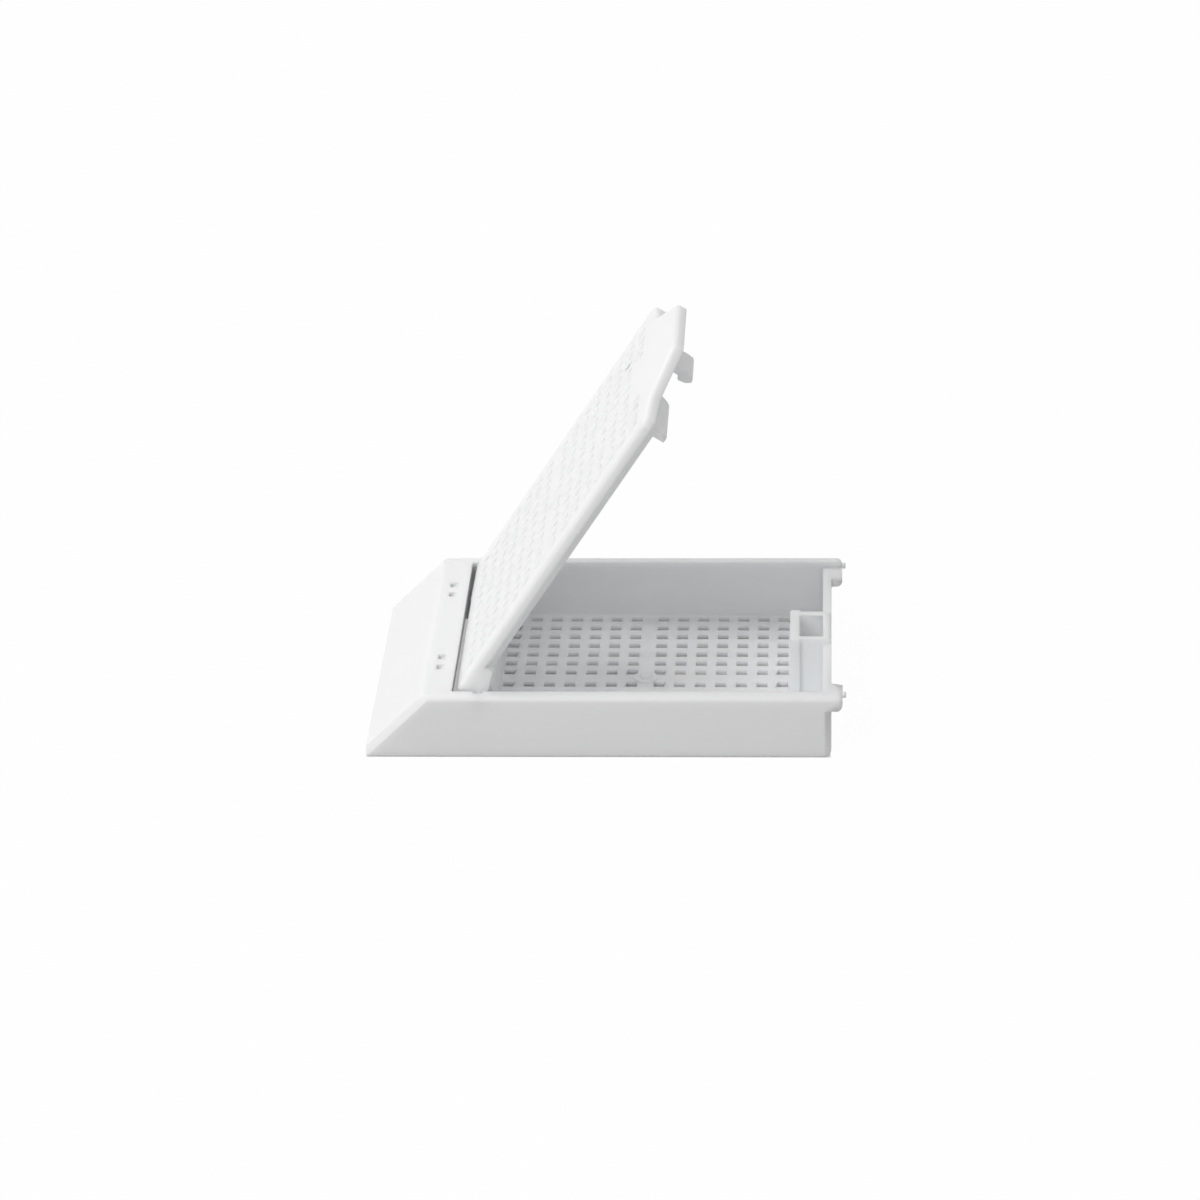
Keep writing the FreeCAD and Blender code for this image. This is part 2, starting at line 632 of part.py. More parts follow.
def build_lid_holes(body):
    """Perforation of the lid. The last column stops short of the rows beside the tab."""
    centre = f"({END_FROM_AXIS} - dims.lid_centre_setback)"
    hole = new_sketch(body, "LidHole", "XY_Plane", lift=f"({UNDERSIDE} + dims.plate)", shift=centre)
    side = "dims.lid_hole / 2"
    draw_rectangle(hole, f"(dims.lid_first_x - {side})", f"(dims.lid_first_x + {side})",
                   f"(dims.lid_first_y - {side})", f"(dims.lid_first_y + {side})")
    first = add_pocket(body, "LidPerforation", hole, "dims.plate")
    add_grid(body, "LidGrid", first, ("dims.lid_columns", "dims.lid_pitch_x"),
             ("dims.lid_rows", "dims.lid_pitch_y"))

    last = "(dims.lid_first_x + dims.lid_columns * dims.lid_pitch_x)"
    row = "(dims.lid_first_y + dims.outer_rows_start * dims.lid_pitch_y)"
    extra = new_sketch(body, "LastColumnHole", "XY_Plane", lift=f"({UNDERSIDE} + dims.plate)", shift=centre)
    draw_rectangle(extra, f"({last} - {side})", f"({last} + {side})", f"({row} - {side})", f"({row} + {side})")
    outermost = add_pocket(body, "LastColumn", extra, "dims.plate")
    add_grid(body, "LastColumnGrid", outermost, None,
             ("dims.lid_rows - dims.outer_rows_start", "dims.lid_pitch_y"))


base = doc.addObject("PartDesign::Body", "Base")
base.Label = "cassette_base"
build_block(base)
build_ears(base)
build_tray(base)
build_writing_end(base)
build_latch(base)
build_marks(base)

lid = doc.addObject("PartDesign::Body", "Lid")
lid.Label = "lid"
build_plate(lid)
build_ribs(lid)
build_lugs(lid)
build_skirts(lid)
build_hook(lid)
build_lid_holes(lid)
lid.Placement = Placement(Vector(value(AXIS_X), 0, value(AXIS_Z)),
                          Rotation(Vector(0, -1, 0), value("dims.open_angle")))
lid.setExpression("Placement.Base.x", AXIS_X)
lid.setExpression("Placement.Base.z", AXIS_Z)
lid.setExpression("Placement.Rotation.Angle", "dims.open_angle")

os.makedirs("parts", exist_ok=True)
doc.recompute()
for thing in doc.Objects:
    bad = [word for word in ("Invalid", "Error") if word in thing.State]
    if bad:
        raise RuntimeError(f"{thing.Name}: {thing.State}")
for body in (base, lid):
    shape = body.Shape
    if shape.isNull() or not shape.isValid():
        raise RuntimeError(f"{body.Label} has no valid shape")
    print(body.Label, len(shape.Solids), "solids", len(shape.Faces), "faces",
          round(shape.Volume, 2), "mm3", shape.BoundBox)
    shape.exportStep(f"parts/{body.Label}.step")
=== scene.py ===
"""A white acetal tissue cassette: its two mouldings dressed in moulded plastic, in a plain white studio."""

import json
import logging
import math
from dataclasses import dataclass, replace
from enum import Enum

import bmesh
import bpy
import numpy as np
from mathutils import Matrix, Vector
from mathutils.bvhtree import BVHTree

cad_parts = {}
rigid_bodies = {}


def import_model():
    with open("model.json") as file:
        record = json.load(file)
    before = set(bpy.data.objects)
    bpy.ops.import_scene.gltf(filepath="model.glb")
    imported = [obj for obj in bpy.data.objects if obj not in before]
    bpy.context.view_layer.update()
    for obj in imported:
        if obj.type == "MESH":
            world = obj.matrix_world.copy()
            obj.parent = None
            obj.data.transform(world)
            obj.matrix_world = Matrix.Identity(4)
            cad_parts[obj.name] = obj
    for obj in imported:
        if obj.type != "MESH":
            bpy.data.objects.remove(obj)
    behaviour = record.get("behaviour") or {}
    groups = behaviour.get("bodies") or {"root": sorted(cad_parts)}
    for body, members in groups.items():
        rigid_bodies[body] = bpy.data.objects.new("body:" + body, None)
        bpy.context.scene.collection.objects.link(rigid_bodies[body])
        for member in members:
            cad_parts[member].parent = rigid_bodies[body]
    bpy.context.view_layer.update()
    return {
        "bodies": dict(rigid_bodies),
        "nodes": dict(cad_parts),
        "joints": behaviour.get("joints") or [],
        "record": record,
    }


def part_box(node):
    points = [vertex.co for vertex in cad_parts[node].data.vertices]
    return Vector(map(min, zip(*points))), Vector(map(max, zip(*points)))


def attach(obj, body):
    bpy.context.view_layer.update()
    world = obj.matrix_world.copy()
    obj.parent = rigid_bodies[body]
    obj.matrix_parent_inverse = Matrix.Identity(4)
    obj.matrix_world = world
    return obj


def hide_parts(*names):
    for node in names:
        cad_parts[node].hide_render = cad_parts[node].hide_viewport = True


log = logging.getLogger("cassette")

MM = 0.001
SHARP = "sharp_edge"
WEIGHT = "bevel_weight_edge"


class Weave(Enum):
    """How a noise that varies over the plastic is laid out."""

    FLOW = "flow"
    GRAIN = "grain"


class Signal:
    """A number that varies over a surface: a socket whose sums and products add Math nodes."""

    def __init__(self, bench: "Bench", socket: bpy.types.NodeSocket) -> None:
        """Wraps a socket.

        Args:
            bench: the node tree that the socket is in.
            socket: the output that gives the number.
        """
        self.bench = bench
        self.socket = socket

    def _maths(
        self,
        operation: str,
        first: "Signal | float",
        second: "Signal | float",
        clamp: bool = False,
    ) -> "Signal":
        """Adds one Math node.

        Args:
            operation: the node's operation.
            first: its first value.
            second: its second value.
            clamp: whether the result is kept from 0 to 1.

        Returns:
            The result.
        """
        node = self.bench.node(
            "ShaderNodeMath", {"operation": operation, "use_clamp": clamp}, {0: first, 1: second}
        )
        return Signal(self.bench, node.outputs[0])

    def __add__(self, other: "Signal | float") -> "Signal":
        """This number plus the other."""
        return self._maths("ADD", self, other)

    def __radd__(self, other: float) -> "Signal":
        """The other number plus this."""
        return self._maths("ADD", other, self)

    def __sub__(self, other: "Signal | float") -> "Signal":
        """This number less the other."""
        return self._maths("SUBTRACT", self, other)

    def __rsub__(self, other: float) -> "Signal":
        """The other number less this."""
        return self._maths("SUBTRACT", other, self)

    def __mul__(self, other: "Signal | float") -> "Signal":
        """This number times the other."""
        return self._maths("MULTIPLY", self, other)

    def __rmul__(self, other: float) -> "Signal":
        """The other number times this."""
        return self._maths("MULTIPLY", other, self)

    def __truediv__(self, other: "Signal | float") -> "Signal":
        """This number divided by the other."""
        return self._maths("DIVIDE", self, other)

    def clamped(self) -> "Signal":
        """This number kept from 0 to 1."""
        return self._maths("ADD", self, 0.0, clamp=True)

    def between(self, low: float, high: float) -> "Signal":
        """One where this number lies between two others, and otherwise nothing."""
        return self._maths("GREATER_THAN", self, low) * self._maths("LESS_THAN", self, high)

    def greater(self, other: "Signal | float") -> "Signal":
        """The larger of this number and the other."""
        return self._maths("MAXIMUM", self, other)


class Bench:
    """The node tree of one material or world, on which its nodes are laid out."""

    def __init__(self, owner: bpy.types.Material | bpy.types.World) -> None:
        """Empties the node tree of a material or a world.

        Args:
            owner: the material or world.
        """
        owner.use_nodes = True
        self.tree = owner.node_tree
        self.tree.nodes.clear()

    def node(
        self,
        kind: str,
        settings: dict[str, object] | None = None,
        inputs: dict[str | int, object] | None = None,
    ) -> bpy.types.Node:
        """Adds a node.

        Args:
            kind: the node's type.
            settings: its settings, such as an operation, set before the inputs.
            inputs: the values of its sockets, or the signals and sockets linked to them.

        Returns:
            The node.
        """
        made = self.tree.nodes.new(kind)
        for name, value in (settings or {}).items():
            setattr(made, name, value)
        for name, value in (inputs or {}).items():
            if isinstance(value, Signal):
                value = value.socket
            if isinstance(value, bpy.types.NodeSocket):
                self.tree.links.new(value, made.inputs[name])
            else:
                made.inputs[name].default_value = value
        return made

    def place(self) -> bpy.types.NodeSocket:
        """The place of a surface point on its piece, in metres."""
        return self.node("ShaderNodeTexCoord").outputs["Object"]

    def noise(self, size: float, detail: float, weave: Weave) -> Signal:
        """A smooth random number over the piece.

        Args:
            size: distance between its waves, in metres.
            detail: how many finer waves are added.
            weave: flow stretches it along the melt's way, grain leaves it even.

        Returns:
            The number, from about 0.3 to 0.7.
        """
        stretch = (0.35, 1.0, 1.0) if weave is Weave.FLOW else (1.0, 1.0, 1.0)
        mapped = self.node("ShaderNodeMapping", None, {"Vector": self.place(), "Scale": stretch})
        made = self.node(
            "ShaderNodeTexNoise",
            {"noise_dimensions": "3D"},
            {"Vector": mapped.outputs[0], "Scale": 1.0 / size, "Detail": detail, "Roughness": 0.55},
        )
        return Signal(self, made.outputs[0])

    def distance(self, point: tuple[float, float, float]) -> Signal:
        """The distance of a surface point from a place on the piece.

        Args:
            point: the place, in metres.

        Returns:
            The distance, in metres.
        """
        made = self.node("ShaderNodeVectorMath", {"operation": "DISTANCE"}, {0: self.place(), 1: point})
        return Signal(self, made.outputs["Value"])


@dataclass(frozen=True)
class Acetal:
    """Moulded acetal: white, a little translucent, with a fine spark-eroded grain.

    Attributes:
        name: the material's name.
        colour: the plastic's colour, linear.
        shade: the colour in the streaks of its flow.
        roughness: how matt the surface is.
        glow: the share of light that wanders inside.
        reach: how far that light wanders, in metres.
        flow: distance between the streaks of its flow, in metres.
        mottle: size of the mottling, in metres.
        grain: size of the grain, in metres.
        grain_depth: its depth, in metres.
        blush_reach: how far the faint blush goes round a gate, in metres.
    """

    name: str
    colour: tuple[float, float, float] = (0.925, 0.942, 0.955)
    shade: tuple[float, float, float] = (0.91, 0.93, 0.946)
    roughness: float = 0.42
    glow: float = 1.0
    reach: float = 0.8 * MM
    flow: float = 6.0 * MM
    mottle: float = 0.9 * MM
    grain: float = 0.11 * MM
    grain_depth: float = 0.004 * MM
    blush_reach: float = 2.2 * MM

    def make(self, gate: tuple[float, float, float]) -> bpy.types.Material:
        """Makes the material, with streaks of flow, mottling, grain and a faint blush round the gate.

        Args:
            gate: the place where the melt came in, in metres.

        Returns:
            The material.
        """
        material = bpy.data.materials.new(self.name)
        bench = Bench(material)
        flow = bench.noise(self.flow, 2.0, Weave.FLOW)
        mottle = bench.noise(self.mottle, 3.0, Weave.GRAIN)
        grain = bench.noise(self.grain, 1.0, Weave.GRAIN)
        blush = (1.0 - bench.distance(gate) / self.blush_reach).clamped()
        shading = (flow * 0.7 + mottle * 0.5 - 0.1 - blush * 0.25).clamped()
        tint = bench.node(
            "ShaderNodeMix",
            {"data_type": "RGBA"},
            {"Factor": shading, 6: (*self.colour, 1.0), 7: (*self.shade, 1.0)},
        )
        roughness = mottle * 0.12 + grain * 0.06 + blush * 0.08 + (self.roughness - 0.09)
        height = grain * 0.8 + mottle * 0.2
        bump = bench.node(
            "ShaderNodeBump", None, {"Height": height, "Strength": 1.0, "Distance": self.grain_depth}
        )
        shader = bench.node(
            "ShaderNodeBsdfPrincipled",
            None,
            {
                "Base Color": tint.outputs[2],
                "Roughness": roughness,
                "IOR": 1.48,
                "Normal": bump.outputs[0],
                "Subsurface Weight": self.glow,
                "Subsurface Radius": (1.0, 1.0, 1.0),
                "Subsurface Scale": self.reach,
            },
        )
        bench.node("ShaderNodeOutputMaterial", None, {"Surface": shader.outputs[0]})
        return material


@dataclass
class Stub:
    """A small turned mark on a face, such as the stub that is left where the gate broke off.

    Attributes:
        name: the piece's name.
        centre: its middle on the face, in metres.
        up: the face's outward direction.
        radius: its radius at the foot, in metres.
        height: how far it stands out, in metres.
        crater: depth of the hollow in its top, in metres.
        uneven: how far its rim strays from a circle, as a share of the radius.
        sink: how far its foot is below the face, in metres.
        rings: steps from the foot to the middle of its top.
        sides: steps round it.
    """

    name: str
    centre: tuple[float, float, float]
    up: tuple[float, float, float]
    radius: float
    height: float
    crater: float = 0.0
    uneven: float = 0.0
    sink: float = 0.05 * MM
    rings: int = 12
    sides: int = 32

    def surface(self) -> tuple[np.ndarray, np.ndarray]:
        """The mark as a profile turned about its axis.

        With t from 0 at the foot to 1 at the middle, and s = 1 - t^1.4, the radius at the angle a is
        R s (1 + s u (sin(3a + 0.6) + sin(7a + 2) / 2)). The height climbs from the sunk foot at -S to
        H by (H + S) sin(90 degrees min(2.2 t, 1)), less a hollow C (1 - s / 0.6)^0.8 where s is under 0.6.

        Returns:
            Its points and its triangles.
        """
        step = np.linspace(0.0, 1.0, self.rings)[:, None]
        angle = np.linspace(0.0, 2.0 * math.pi, self.sides, endpoint=False)[None, :]
        ripple = 1.0 + self.uneven * (np.sin(3.0 * angle + 0.6) + 0.5 * np.sin(7.0 * angle + 2.0))
        share = 1.0 - step**1.4
        reach = self.radius * share * (1.0 + (ripple - 1.0) * share)
        rise = np.sin(np.minimum(2.2 * step, 1.0) * 0.5 * math.pi)
        hollow = self.crater * np.clip(1.0 - share / 0.6, 0.0, 1.0) ** 0.8
        tall = -self.sink + (self.height + self.sink) * rise - hollow + 0.0 * angle
        side, front = self.across()
        local = np.stack([reach * np.cos(angle), reach * np.sin(angle), tall], axis=-1)[:-1].reshape(-1, 3)
        tip = np.array([[0.0, 0.0, float(tall[-1, 0])], [0.0, 0.0, -self.sink]])
        points = np.vstack([local, tip]) @ np.array([side, front, self.up]) + np.array(self.centre)
        ring, turn = np.meshgrid(np.arange(self.rings - 2), np.arange(self.sides), indexing="ij")
        here = (ring * self.sides + turn).ravel()
        beside = (ring * self.sides + (turn + 1) % self.sides).ravel()
        quads = [here, beside, beside + self.sides, here, beside + self.sides, here + self.sides]
        last = (self.rings - 2) * self.sides
        around = np.arange(self.sides)
        following = (around + 1) % self.sides
        top = np.stack([around + last, following + last, np.full(self.sides, len(points) - 2)], axis=1)
        foot = np.stack([following, around, np.full(self.sides, len(points) - 1)], axis=1)
        return points, np.vstack([np.stack(quads, axis=1).reshape(-1, 3), top, foot])

    def across(self) -> tuple[np.ndarray, np.ndarray]:
        """Two directions along the face, square to each other.

        Returns:
            The directions.
        """
        up = np.array(self.up)
        front = np.array([0.0, 1.0, 0.0])
        side = np.cross(front, up)
        side = side / np.linalg.norm(side)
        return side, np.cross(up, side)

    def build(self) -> bpy.types.Object:
        """Makes the mark.

        Returns:
            The new piece.
        """
        points, triangles = self.surface()
        mesh = bpy.data.meshes.new(self.name)
        mesh.from_pydata(points.tolist(), [], triangles.tolist())
        mesh.shade_smooth()
        piece = bpy.data.objects.new(self.name, mesh)
        bpy.context.scene.collection.objects.link(piece)
        return piece


@dataclass
class Moulding:
    """One moulded piece: a merged copy of its solid with softened edges, and the finish on it.

    Attributes:
        node: the solid's name.
        body: the body that it moves with.
        slot: the record's material slot; not used.
        finish: the plastic.
        merge: distance within which corners are one, in metres.
        edge: edges that turn more than this are softened, in degrees.
        softness: radius of the softened edges, in metres.
        stray: how far a point may leave the solid, as a share of the softness.
        healing: how near a fault an edge is left crisp, as a share of the softness.
        rounds: how many times faults are looked for.
        speck: faces smaller than this can't be faults, in square metres.
        turned: a face is turned over when its normal agrees less than this with the solid's.
        stub_radius: radius of the broken gate, in metres.
        stub_rise: how far it stands out, in metres.
        stub_crater: depth of the hollow in it, in metres.
        stub_uneven: how uneven its rim is.
    """

    node: str
    body: str
    slot: str
    finish: Acetal
    merge: float = 0.001 * MM
    edge: float = 33.0
    softness: float = 0.14 * MM
    stray: float = 0.8
    healing: float = 1.6
    rounds: int = 8
    speck: float = 1e-12
    turned: float = -0.1
    stub_radius: float = 0.5 * MM
    stub_rise: float = 0.05 * MM
    stub_crater: float = 0.015 * MM
    stub_uneven: float = 0.06

    def merged(self, solid: bpy.types.Object) -> bpy.types.Object:
        """Copies the solid's loose triangles into a closed skin.

        Args:
            solid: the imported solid.

        Returns:
            The new piece.
        """
        skin = bmesh.new()
        skin.from_mesh(solid.data)
        bmesh.ops.remove_doubles(skin, verts=skin.verts, dist=self.merge)
        mesh = bpy.data.meshes.new(f"{self.node}_moulding")
        turns = np.array([edge.calc_face_angle(0.0) for edge in skin.edges])
        middles = np.array([(edge.verts[0].co + edge.verts[1].co) * 0.5 for edge in skin.edges])
        skin.to_mesh(mesh)
        skin.free()
        if "custom_normal" in mesh.attributes:
            mesh.attributes.remove(mesh.attributes["custom_normal"])
        hard = turns > math.radians(self.edge)
        weights = (hard & ~self.crisp(middles)).astype(np.float32)
        mesh.materials.clear()
        mesh.shade_smooth()
        mesh.attributes.new(WEIGHT, "FLOAT", "EDGE").data.foreach_set("value", weights)
        mesh.attributes.new(SHARP, "BOOLEAN", "EDGE")
        piece = bpy.data.objects.new(mesh.name, mesh)
        bpy.context.scene.collection.objects.link(piece)
        return piece

    def crisp(self, places: np.ndarray) -> np.ndarray:
        """Whether edges stay crisp, because they fade into a rounded face.

        Args:
            places: the edges' middles, in metres.

        Returns:
            True for each edge that stays crisp.
        """
        return np.zeros(len(places), dtype=bool)

    def soften(self, piece: bpy.types.Object) -> None:
        """Rounds the sharp edges and lets the flat faces rule the shading.

        Args:
            piece: the merged copy.
        """
        bevel = piece.modifiers.new("softened_edges", "BEVEL")
        bevel.width = self.softness
        bevel.segments = 2
        bevel.limit_method = "WEIGHT"
        bevel.use_clamp_overlap = False
        self.heal(piece)
        weighted = piece.modifiers.new("flat_shading", "WEIGHTED_NORMAL")
        weighted.mode = "FACE_AREA"
        weighted.weight = 60
        weighted.keep_sharp = True

    def faults(self, piece: bpy.types.Object, skin: BVHTree) -> np.ndarray:
        """Finds where the softened skin folds over or leaves the solid.

        The search tree answers for one place at a time.

        Args:
            piece: the softened copy.
            skin: the solid's skin.

        Returns:
            The corners of the faces that are turned over, and the points that lie too far out.
        """
        bpy.context.view_layer.update()
        soft = piece.evaluated_get(bpy.context.evaluated_depsgraph_get())
        mesh = soft.to_mesh()
        found = []
        for face in mesh.polygons:
            _, normal, _, _ = skin.find_nearest(face.center)
            if face.area > self.speck and face.normal.dot(normal) < self.turned:
                found += [tuple(mesh.vertices[corner].co) for corner in face.vertices]
        most = self.stray * self.softness
        found += [tuple(point.co) for point in mesh.vertices if skin.find_nearest(point.co)[3] > most]
        soft.to_mesh_clear()
        return np.array(found).reshape(-1, 3)

    def heal(self, piece: bpy.types.Object) -> None:
        """Leaves the edges crisp next to each fault, until none is left or the rounds are over.

        The distance of a fault f from an edge a to b is that from f to a + t(b - a), with t its share
        along the edge, kept from 0 to 1.

        Args:
            piece: the softened copy.
        """
        mesh = piece.data
        skin = BVHTree.FromObject(piece, bpy.context.evaluated_depsgraph_get(), deform=False)
        ends = np.empty(len(mesh.edges) * 2, dtype=np.int32)
        mesh.edges.foreach_get("vertices", ends)
        points = np.empty(len(mesh.vertices) * 3)
        mesh.vertices.foreach_get("co", points)
        start, stop = points.reshape(-1, 3)[ends.reshape(-1, 2)].transpose(1, 0, 2)
        run = stop - start
        weights = np.empty(len(mesh.edges), dtype=np.float32)
        sharp = np.empty(len(mesh.edges), dtype=bool)
        mesh.attributes[SHARP].data.foreach_get("value", sharp)
        for _ in range(self.rounds):
            found = self.faults(piece, skin)
            mesh.attributes[WEIGHT].data.foreach_get("value", weights)
            soft = np.nonzero(weights)[0]
            log.info("%s: %d fault points at %d soft edges", self.node, len(found), len(soft))
            if not len(found):
                break
            away = found[None, :, :] - start[soft][:, None, :]
            squared = np.einsum("ec,ec->e", run[soft], run[soft])
            share = np.einsum("efc,ec->ef", away, run[soft]) / squared[:, None]
            gap = away - np.clip(share, 0.0, 1.0)[:, :, None] * run[soft][:, None, :]
            near = soft[(np.linalg.norm(gap, axis=2) < self.healing * self.softness).any(axis=1)]
            weights[near] = 0.0
            sharp[near] = True
            mesh.attributes[WEIGHT].data.foreach_set("value", weights)
            mesh.attributes[SHARP].data.foreach_set("value", sharp)
            mesh.update()

    def gate(self) -> tuple[float, float, float]:
        """The place where the melt came in, in metres."""
        return (0.0, 0.0, 0.0)

    def marks(self) -> list[Stub]:
        """The small marks of the moulding."""
        return []

    def gate_stub(self, name: str, up: tuple[float, float, float]) -> Stub:
        """The stub that is left where the gate broke off.

        Args:
            name: the piece's name.
            up: the outward direction of the face that it is on.

        Returns:
            The stub.
        """
        return Stub(
            name,
            self.gate(),
            up,
            self.stub_radius,
            self.stub_rise,
            crater=self.stub_crater,
            uneven=self.stub_uneven,
        )

    def build(self, frame: dict) -> list[bpy.types.Object]:
        """Makes the moulding in place of its solid.

        The marks aren't translucent, because a thin piece sunk in another loses its light and looks dark.

        Args:
            frame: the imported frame.

        Returns:
            The new pieces.
        """
        skin = self.merged(frame["nodes"][self.node])
        self.soften(skin)
        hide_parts(self.node)
        skin.data.materials.append(self.finish.make(self.gate()))
        opaque = replace(self.finish, name=f"{self.finish.name}_marks", glow=0.0).make(self.gate())
        marks = [mark.build() for mark in self.marks()]
        for mark in marks:
            mark.data.materials.append(opaque)
        for piece in (skin, *marks):
            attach(piece, self.body)
        return [skin, *marks]


@dataclass
class Tray(Moulding):
    """The tray with the writing end, the latch box and the ears.

    Attributes:
        gate_height: top of the gate boss above the ground, in metres.
        gate_setback: from the end of the nubs to the middle of the gate boss, in metres.
        nub_start: where the nubs begin along the tray, in metres.
        runout_start: where the ears begin to run out into the side walls, in metres.
        runout_side: how far out across the tray that is, in metres.
        runout_height: its height, in metres.
        runout_half: how far above and below that height it goes, in metres.
        dent_along: the middle of the dents along the tray, in metres.
        dent_across: their middle across it, on either side, in metres.
        dent_half: how far the dents go from there, along and across, in metres.
        dent_floor: lower than this are no dents, in metres.
    """

    stub_rise: float = 0.08 * MM
    stub_crater: float = 0.03 * MM
    gate_height: float = 0.7 * MM
    gate_setback: float = 17.5 * MM
    nub_start: float = 20.05 * MM
    runout_start: float = 18.0 * MM
    runout_side: float = 13.2 * MM
    runout_height: float = 4.4 * MM
    runout_half: float = 0.3 * MM
    dent_along: float = -14.25 * MM
    dent_across: float = 7.2 * MM
    dent_half: tuple[float, float] = (0.65 * MM, 1.8 * MM)
    dent_floor: float = 5.0 * MM

    def crisp(self, places: np.ndarray) -> np.ndarray:
        """Whether edges stay crisp: at the nubs, at the dents, and where an ear runs out into its side wall.

        Args:
            places: the edges' middles, in metres.

        Returns:
            True for each edge that stays crisp.
        """
        along, across, height = places[:, 0], np.abs(places[:, 1]), places[:, 2]
        nub = along > self.nub_start
        runout = (along > self.runout_start) & (across > self.runout_side)
        runout &= np.abs(height - self.runout_height) < self.runout_half
        dent = np.abs(along - self.dent_along) < self.dent_half[0]
        dent &= (np.abs(across - self.dent_across) < self.dent_half[1]) & (height > self.dent_floor)
        return nub | runout | dent

    def gate(self) -> tuple[float, float, float]:
        """The top of the gate boss, in metres."""
        return (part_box(self.node)[1].x - self.gate_setback, 0.0, self.gate_height)

    def marks(self) -> list[Stub]:
        """The broken stub on the gate boss."""
        return [self.gate_stub("tray_gate_stub", (0.0, 0.0, 1.0))]


@dataclass
class Lid(Moulding):
    """The perforated lid with its tab, ribs, lugs, skirts and hook.

    Attributes:
        hinge: a point on the hinge's axis, in metres.
        opening: how far the lid stands open at rest, in degrees.
        closed_top: height of the closed lid's outer face, in metres.
        gate_place: where the gate is along the closed lid, in metres.
        pip_place: where the pip is along and across the closed lid, in metres.
        pip_radius: its radius, in metres.
        pip_rise: how far it stands out, in metres.
    """

    hinge: tuple[float, float, float] = (0.0, 0.0, 0.0)
    opening: float = 56.8
    closed_top: float = 6.87 * MM
    gate_place: float = 2.715 * MM
    pip_place: tuple[float, float] = (14.5 * MM, 7.0 * MM)
    pip_radius: float = 0.3 * MM
    pip_rise: float = 0.04 * MM

    def opened(self, along: float, across: float) -> tuple[tuple[float, ...], tuple[float, ...]]:
        """Where a place on the closed lid's outer face lies at rest.

        Args:
            along: its place along the tray with the lid closed, in metres.
            across: its place across the tray, in metres.

        Returns:
            The place and the outward direction of the face there.
        """
        turn = Matrix.Rotation(-math.radians(self.opening), 3, "Y")
        arm = turn @ Vector((along - self.hinge[0], across, self.closed_top - self.hinge[2]))
        place = Vector((self.hinge[0], 0.0, self.hinge[2])) + arm
        return tuple(place), tuple(turn @ Vector((0.0, 0.0, 1.0)))

    def gate(self) -> tuple[float, float, float]:
        """The middle of the outer face, in metres."""
        return self.opened(self.gate_place, 0.0)[0]

    def marks(self) -> list[Stub]:
        """The gate's low stub in the middle and the pip near the tab.

        Returns:
            The stub and the pip.
        """
        corner, up = self.opened(*self.pip_place)
        pip = Stub("lid_pip", corner, up, self.pip_radius, self.pip_rise)
        return [self.gate_stub("lid_gate_stub", up), pip]


@dataclass(frozen=True)
class Lamp:
    """A soft square lamp.

    Attributes:
        name: its name.
        place: where it hangs, in metres.
        power: its power, in watts.
        side: its width and height, in metres.
    """

    name: str
    place: tuple[float, float, float]
    power: float
    side: float

    def build(self) -> None:
        """Hangs the lamp, facing the cassette."""
        light = bpy.data.lights.new(self.name, "AREA")
        light.energy = self.power
        light.shape = "SQUARE"
        light.size = self.side
        lamp = bpy.data.objects.new(self.name, light)
        lamp.location = self.place
        lamp.rotation_euler = (-Vector(self.place)).to_track_quat("-Z", "Y").to_euler()
        bpy.context.scene.collection.objects.link(lamp)


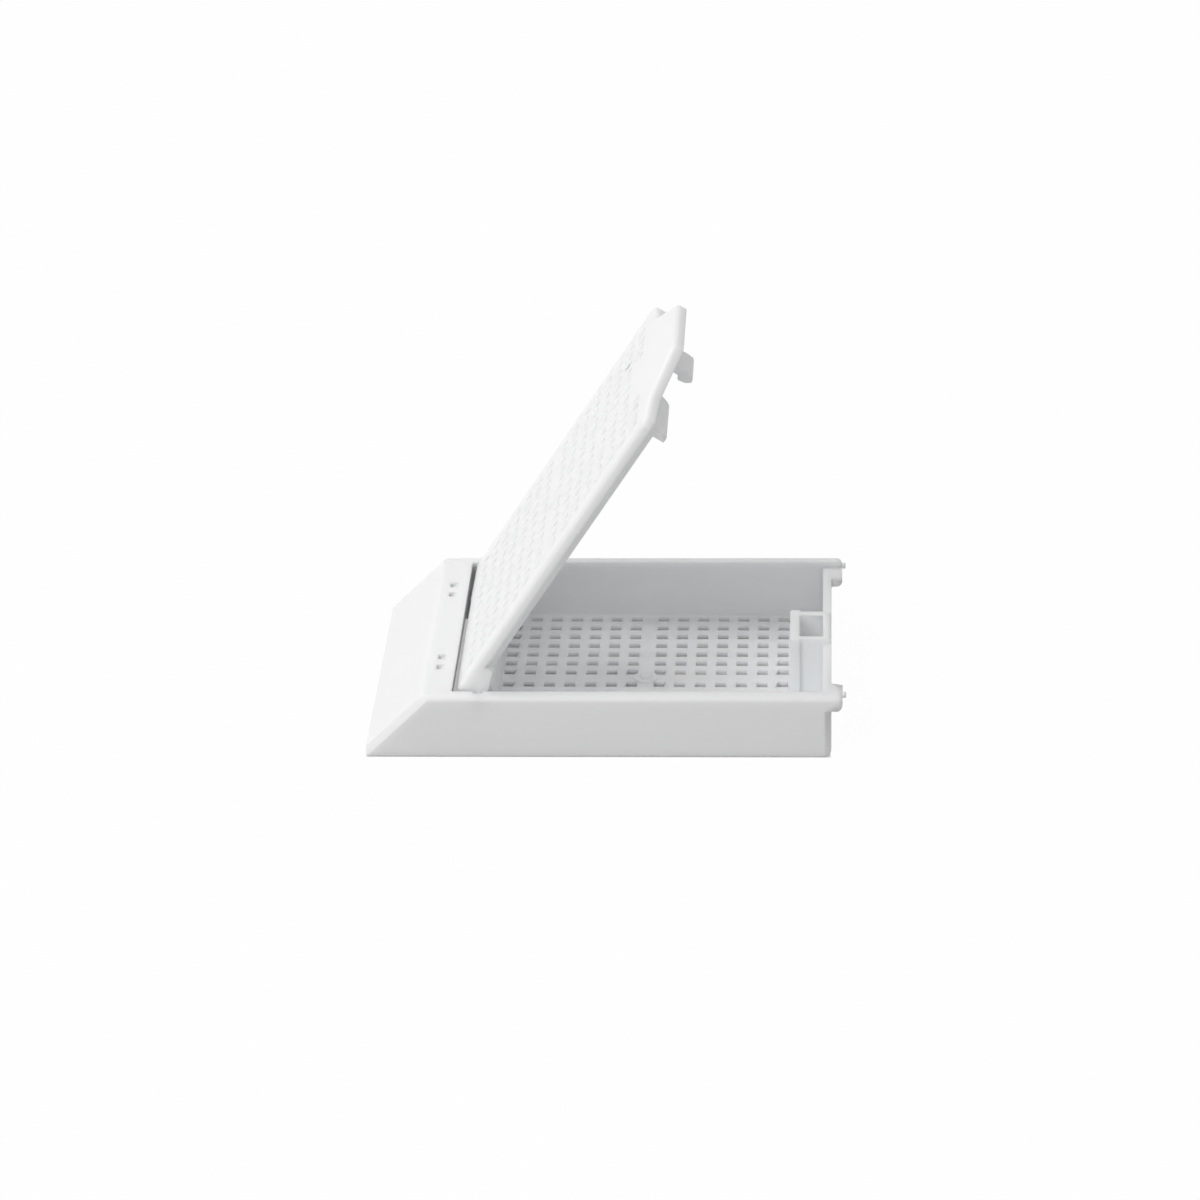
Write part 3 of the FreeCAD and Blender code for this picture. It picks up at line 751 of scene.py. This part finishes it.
@dataclass(frozen=True)
class Studio:
    """The white floor, the soft light and the camera.

    Attributes:
        ambient: strength of the light from all round.
        floor_white: how far the floor's own colour gives way to plain white for the camera.
        hollow_white: the same under the tray, where the table lies in shade.
        paper: how much light the floor throws back.
        floor_side: width of the floor, in metres.
        tray_low: lower corner of the patch of floor under the tray, in metres.
        tray_high: its upper corner, in metres.
        station: the camera's place, in metres.
        yaw: how far the camera turns to the left, in degrees.
        pitch: how far it looks down, in degrees.
        roll: how far it leans, in degrees.
        lens: its focal length on a 36 mm sensor, in millimetres.
        lamps: the lamps.
    """

    ambient: float = 0.47
    floor_white: float = 0.98
    hollow_white: float = 0.4
    paper: float = 0.63
    floor_side: float = 6.0
    tray_low: tuple[float, float] = (-20.3 * MM, -13.9 * MM)
    tray_high: tuple[float, float] = (19.1 * MM, 13.9 * MM)
    station: tuple[float, float, float] = (19.273 * MM, -359.349 * MM, 181.457 * MM)
    yaw: float = 3.2166
    pitch: float = 25.716
    roll: float = -1.3922
    lens: float = 137.859
    lamps: tuple[Lamp, ...] = (
        Lamp("lamp_key", (-0.343, -0.332, 0.512), 1.85, 0.3),
        Lamp("lamp_left", (-0.398, 0.334, 0.468), 1.1, 0.3),
        Lamp("lamp_behind", (0.183, 0.504, 0.450), 0.3, 0.3),
    )

    def seen(self, bench: Bench, names: tuple[str, ...]) -> Signal:
        """Tells by which kinds of ray a point is seen.

        Args:
            bench: the node tree.
            names: the kinds of ray.

        Returns:
            One where a ray is of one of the kinds, and otherwise nothing.
        """
        path = bench.node("ShaderNodeLightPath")
        total = Signal(bench, path.outputs[names[0]])
        for name in names[1:]:
            total = total.greater(Signal(bench, path.outputs[name]))
        return total

    def floor(self) -> None:
        """Lays the floor: pale, plain white to the camera, with a faint shadow under the cassette."""
        material = bpy.data.materials.new("floor_white")
        bench = Bench(material)
        split = bench.node("ShaderNodeSeparateXYZ", None, {0: bench.place()})
        across = Signal(bench, split.outputs[0]).between(self.tray_low[0], self.tray_high[0])
        hollow = across * Signal(bench, split.outputs[1]).between(self.tray_low[1], self.tray_high[1])
        share = self.floor_white - hollow * (self.floor_white - self.hollow_white)
        seen = self.seen(bench, ("Is Camera Ray", "Is Glossy Ray", "Is Transmission Ray"))
        grey = (self.paper, self.paper, self.paper, 1.0)
        paper = bench.node("ShaderNodeBsdfDiffuse", None, {"Color": grey})
        white = bench.node("ShaderNodeEmission", None, {"Strength": 1.0})
        layers = {0: seen * share, 1: paper.outputs[0], 2: white.outputs[0]}
        mixed = bench.node("ShaderNodeMixShader", None, layers)
        bench.node("ShaderNodeOutputMaterial", None, {"Surface": mixed.outputs[0]})
        half = 0.5 * self.floor_side
        corners = np.array([(-half, -half, 0.0), (half, -half, 0.0), (half, half, 0.0), (-half, half, 0.0)])
        mesh = bpy.data.meshes.new("floor")
        mesh.from_pydata(corners.tolist(), [], [(0, 1, 2, 3)])
        mesh.materials.append(material)
        ground = bpy.data.objects.new("floor", mesh)
        bpy.context.scene.collection.objects.link(ground)

    def sky(self) -> None:
        """Fills the world with even light, plain white to the camera."""
        world = bpy.data.worlds.new("studio")
        bench = Bench(world)
        colour = (1.0, 1.0, 1.0, 1.0)
        light = bench.node("ShaderNodeBackground", None, {"Color": colour, "Strength": self.ambient})
        white = bench.node("ShaderNodeBackground", None, {"Color": colour, "Strength": 1.0})
        seen = self.seen(bench, ("Is Camera Ray",))
        mixed = bench.node("ShaderNodeMixShader", None, {0: seen, 1: light.outputs[0], 2: white.outputs[0]})
        bench.node("ShaderNodeOutputWorld", None, {"Surface": mixed.outputs[0]})
        bpy.context.scene.world = world

    def camera(self) -> None:
        """Sets up the camera: it turns by yaw, looks down by pitch and leans by roll."""
        yaw, pitch, roll = (math.radians(angle) for angle in (self.yaw, self.pitch, self.roll))
        ahead = Vector((-math.sin(yaw) * math.cos(pitch), math.cos(yaw) * math.cos(pitch), -math.sin(pitch)))
        level = Vector((math.cos(yaw), math.sin(yaw), 0.0))
        upright = level.cross(ahead)
        right = level * math.cos(roll) + upright * math.sin(roll)
        up = upright * math.cos(roll) - level * math.sin(roll)
        turn = Matrix((right, up, -ahead)).transposed()
        lens = bpy.data.cameras.new("camera")
        lens.lens = self.lens
        lens.sensor_width = 36.0
        lens.clip_start = 0.01
        camera = bpy.data.objects.new("camera", lens)
        camera.matrix_world = Matrix.Translation(self.station) @ turn.to_4x4()
        bpy.context.scene.collection.objects.link(camera)
        bpy.context.scene.camera = camera

    def build(self) -> None:
        """Sets up the whole studio."""
        self.floor()
        self.sky()
        self.camera()
        for lamp in self.lamps:
            lamp.build()
        bpy.context.scene.view_settings.view_transform = "Standard"


def main() -> None:
    """Builds the cassette and the studio."""
    logging.basicConfig(level=logging.INFO, format="%(name)s: %(message)s")
    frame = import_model()
    hinge = next(joint for joint in frame["joints"] if joint["name"] == "lid_hinge")
    tray = Tray("cassette_base", "base", "base_acetal", Acetal("tray_acetal", reach=0.55 * MM))
    lid_finish = Acetal("lid_acetal_finish", reach=1.2 * MM)
    lid = Lid("lid", "lid_body", "lid_acetal", lid_finish, hinge=tuple(hinge["pos_m"]))
    for moulding in (tray, lid):
        for piece in moulding.build(frame):
            log.info("%s: %d faces, rides on %s", piece.name, len(piece.data.polygons), moulding.body)
    Studio().build()


if __name__ == "__main__":
    main()
